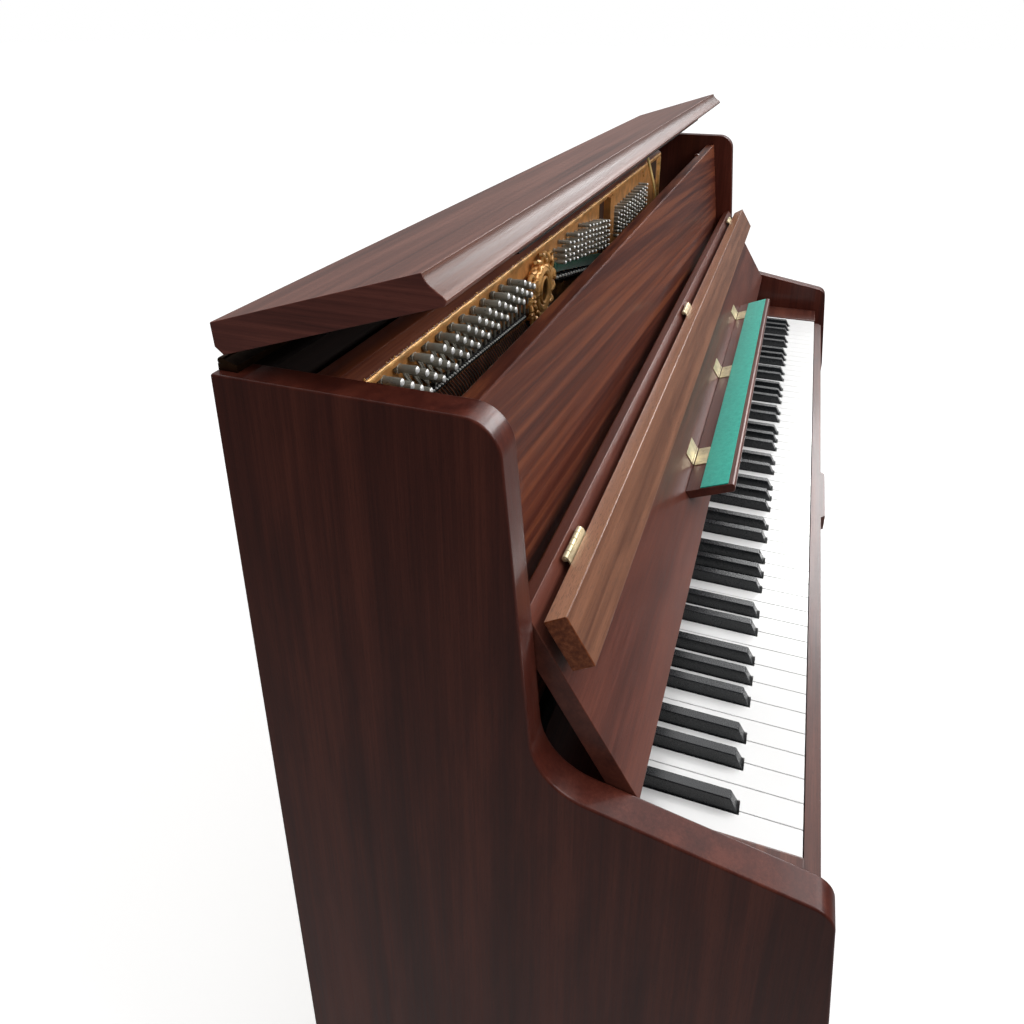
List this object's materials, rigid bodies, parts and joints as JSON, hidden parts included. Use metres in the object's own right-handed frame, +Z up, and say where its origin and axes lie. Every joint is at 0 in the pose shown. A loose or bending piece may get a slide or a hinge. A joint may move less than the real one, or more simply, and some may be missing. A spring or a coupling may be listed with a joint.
{
  "type": "acoustic piano",
  "caption": "Small console upright piano in dark mahogany: lid propped open over the tuning pins, fallboard open above the keys with a folded flap and a felted music shelf, and pedals below.",
  "frame": {"origin": "middle of the footprint's bounding box, on the floor", "axes": "+X to the treble (right-hand) side, +Y to the rear, +Z up; a player sits at -Y"},
  "size_m": [1.39, 0.448, 1.1847],
  "materials": {
    "mahogany": "satin lacquer over dark red-brown ribbon-striped veneer",
    "pale_mahogany": "satin lacquer over lighter tan veneer",
    "plain_wood": "plain unlacquered softwood and beech",
    "natural_keys": "polished white",
    "sharp_keys": "satin black",
    "plate": "bronze paint",
    "pins": "dark nickel",
    "strings": "copper winding and plain steel",
    "brass": "polished",
    "green_felt": "felt",
    "pale_felt": "beech shanks with off-white felt heads",
    "black_rubber": "matt"
  },
  "bodies": {
    "case": {"left_side": "mahogany", "right_side": "mahogany", "keybed": "mahogany", "key_frame": "plain_wood", "left_key_block": "mahogany", "right_key_block": "mahogany", "keyslip": "mahogany", "fallboard_rest_board": "mahogany", "upper_panel": "mahogany", "lower_panel": "mahogany", "toe_rail": "mahogany", "bottom_board": "plain_wood", "back_top_beam": "mahogany", "back_bottom_beam": "plain_wood", "back_post_bass": "plain_wood", "back_post_middle": "plain_wood", "back_post_treble": "plain_wood", "soundboard": "plain_wood", "bridge": "plain_wood", "pin_block": "plain_wood", "top_rail": "mahogany", "iron_plate": "plate", "hitch_plate": "plate", "plate_ornament": "plate", "bass_pins": "pins", "tenor_pins": "pins", "treble_pins": "pins", "felt_band": "green_felt", "strings": "strings", "action_rail": "plain_wood", "lid_hinge": "brass"},
    "top_lid": {"lid": "mahogany", "lid_batten": "black_rubber"},
    "stay": {"lid_stay": "brass"},
    "fall": {"fallboard": "mahogany"},
    "front_flap": {"flap": "pale_mahogany"},
    "shelf": {"music_shelf": "mahogany", "shelf_felt": "green_felt"},
    "hammer_row": {"hammers": "pale_felt"},
    "damper_row": {"dampers": "pale_felt"},
    "soft": {"soft_pedal": "brass"},
    "sustain": {"sustain_pedal": "brass"},
    "soft_lifter": {"soft_rod": "plain_wood"},
    "sustain_lifter": {"sustain_rod": "plain_wood"},
    "low_naturals": {"bass_naturals": "natural_keys"},
    "low_sharps": {"bass_sharps": "sharp_keys"},
    "high_naturals": {"treble_naturals": "natural_keys"},
    "high_sharps": {"treble_sharps": "sharp_keys"},
    "c4": {"key_c4": "natural_keys"},
    "cs4": {"key_cs4": "sharp_keys"},
    "d4": {"key_d4": "natural_keys"},
    "ds4": {"key_ds4": "sharp_keys"},
    "e4": {"key_e4": "natural_keys"},
    "f4": {"key_f4": "natural_keys"},
    "fs4": {"key_fs4": "sharp_keys"},
    "g4": {"key_g4": "natural_keys"},
    "gs4": {"key_gs4": "sharp_keys"},
    "a4": {"key_a4": "natural_keys"},
    "as4": {"key_as4": "sharp_keys"},
    "b4": {"key_b4": "natural_keys"}
  },
  "joints": [
    {"name": "lid_turn", "type": "hinge", "parent": "case", "child": "top_lid", "pos_m": [0, 0.219, 1.109], "axis": [1, 0, 0], "range_deg": [0, 18.1]},
    {"name": "stay_turn", "type": "hinge", "parent": "top_lid", "child": "stay", "pos_m": [0.36, 0.14439, 1.13181], "axis": [1, 0, 0], "range_deg": [-18.2, 0]},
    {"name": "fallboard_turn", "type": "hinge", "parent": "case", "child": "fall", "pos_m": [0, -0.0565, 0.81323], "axis": [1, 0, 0], "range_deg": [0, 128]},
    {"name": "flap_turn", "type": "hinge", "parent": "fall", "child": "front_flap", "pos_m": [0, 0.00541, 0.9417], "axis": [-1, 0, 0], "range_deg": [0, 90]},
    {"name": "shelf_turn", "type": "hinge", "parent": "fall", "child": "shelf", "pos_m": [0.011, -0.04974, 0.84312], "axis": [-1, 0, 0], "range_deg": [0, 98]},
    {"name": "soft_pedal_turn", "type": "hinge", "parent": "case", "child": "soft", "pos_m": [-0.07, 0.068, 0.052], "axis": [1, 0, 0], "range_deg": [0, 5.5], "stiffness_Nm_per_rad": 12, "springref_deg": -6.88},
    {"name": "sustain_pedal_turn", "type": "hinge", "parent": "case", "child": "sustain", "pos_m": [0.07, 0.068, 0.052], "axis": [1, 0, 0], "range_deg": [0, 5.5], "stiffness_Nm_per_rad": 12, "springref_deg": -6.88},
    {"name": "soft_rod_slide", "type": "slide", "parent": "case", "child": "soft_lifter", "axis": [0, 0, 1], "range_m": [0, 0.007]},
    {"name": "sustain_rod_slide", "type": "slide", "parent": "case", "child": "sustain_lifter", "axis": [0, 0, 1], "range_m": [0, 0.007]},
    {"name": "hammer_rail_turn", "type": "hinge", "parent": "case", "child": "hammer_row", "pos_m": [0, 0.098, 0.8348], "axis": [-1, 0, 0], "range_deg": [0, 10]},
    {"name": "damper_rail_turn", "type": "hinge", "parent": "case", "child": "damper_row", "pos_m": [0, 0.116, 0.8348], "axis": [1, 0, 0], "range_deg": [0, 6]},
    {"name": "low_naturals_turn", "type": "hinge", "parent": "case", "child": "low_naturals", "pos_m": [0, -0.002, 0.713], "axis": [1, 0, 0], "range_deg": [0, 3], "stiffness_Nm_per_rad": 30, "springref_deg": -11.46},
    {"name": "low_sharps_turn", "type": "hinge", "parent": "case", "child": "low_sharps", "pos_m": [0, -0.002, 0.713], "axis": [1, 0, 0], "range_deg": [0, 3], "stiffness_Nm_per_rad": 20, "springref_deg": -11.46},
    {"name": "high_naturals_turn", "type": "hinge", "parent": "case", "child": "high_naturals", "pos_m": [0, -0.002, 0.713], "axis": [1, 0, 0], "range_deg": [0, 3], "stiffness_Nm_per_rad": 30, "springref_deg": -11.46},
    {"name": "high_sharps_turn", "type": "hinge", "parent": "case", "child": "high_sharps", "pos_m": [0, -0.002, 0.713], "axis": [1, 0, 0], "range_deg": [0, 3], "stiffness_Nm_per_rad": 20, "springref_deg": -11.46},
    {"name": "c4_turn", "type": "hinge", "parent": "case", "child": "c4", "pos_m": [0, -0.002, 0.713], "axis": [1, 0, 0], "range_deg": [0, 3], "stiffness_Nm_per_rad": 1.5, "springref_deg": -8.59},
    {"name": "cs4_turn", "type": "hinge", "parent": "case", "child": "cs4", "pos_m": [0, -0.002, 0.713], "axis": [1, 0, 0], "range_deg": [0, 3], "stiffness_Nm_per_rad": 1.5, "springref_deg": -8.59},
    {"name": "d4_turn", "type": "hinge", "parent": "case", "child": "d4", "pos_m": [0, -0.002, 0.713], "axis": [1, 0, 0], "range_deg": [0, 3], "stiffness_Nm_per_rad": 1.5, "springref_deg": -8.59},
    {"name": "ds4_turn", "type": "hinge", "parent": "case", "child": "ds4", "pos_m": [0, -0.002, 0.713], "axis": [1, 0, 0], "range_deg": [0, 3], "stiffness_Nm_per_rad": 1.5, "springref_deg": -8.59},
    {"name": "e4_turn", "type": "hinge", "parent": "case", "child": "e4", "pos_m": [0, -0.002, 0.713], "axis": [1, 0, 0], "range_deg": [0, 3], "stiffness_Nm_per_rad": 1.5, "springref_deg": -8.59},
    {"name": "f4_turn", "type": "hinge", "parent": "case", "child": "f4", "pos_m": [0, -0.002, 0.713], "axis": [1, 0, 0], "range_deg": [0, 3], "stiffness_Nm_per_rad": 1.5, "springref_deg": -8.59},
    {"name": "fs4_turn", "type": "hinge", "parent": "case", "child": "fs4", "pos_m": [0, -0.002, 0.713], "axis": [1, 0, 0], "range_deg": [0, 3], "stiffness_Nm_per_rad": 1.5, "springref_deg": -8.59},
    {"name": "g4_turn", "type": "hinge", "parent": "case", "child": "g4", "pos_m": [0, -0.002, 0.713], "axis": [1, 0, 0], "range_deg": [0, 3], "stiffness_Nm_per_rad": 1.5, "springref_deg": -8.59},
    {"name": "gs4_turn", "type": "hinge", "parent": "case", "child": "gs4", "pos_m": [0, -0.002, 0.713], "axis": [1, 0, 0], "range_deg": [0, 3], "stiffness_Nm_per_rad": 1.5, "springref_deg": -8.59},
    {"name": "a4_turn", "type": "hinge", "parent": "case", "child": "a4", "pos_m": [0, -0.002, 0.713], "axis": [1, 0, 0], "range_deg": [0, 3], "stiffness_Nm_per_rad": 1.5, "springref_deg": -8.59},
    {"name": "as4_turn", "type": "hinge", "parent": "case", "child": "as4", "pos_m": [0, -0.002, 0.713], "axis": [1, 0, 0], "range_deg": [0, 3], "stiffness_Nm_per_rad": 1.5, "springref_deg": -8.59},
    {"name": "b4_turn", "type": "hinge", "parent": "case", "child": "b4", "pos_m": [0, -0.002, 0.713], "axis": [1, 0, 0], "range_deg": [0, 3], "stiffness_Nm_per_rad": 1.5, "springref_deg": -8.59}
  ],
  "couplings": [
    {"joint": "stay_turn", "follows": "lid_turn", "ratio": -1},
    {"joint": "hammer_rail_turn", "follows": "soft_pedal_turn", "ratio": 1.8},
    {"joint": "damper_rail_turn", "follows": "sustain_pedal_turn", "ratio": 1.08},
    {"joint": "soft_rod_slide", "follows": "soft_pedal_turn", "m_per_rad": 0.071},
    {"joint": "sustain_rod_slide", "follows": "sustain_pedal_turn", "m_per_rad": 0.071}
  ]
}
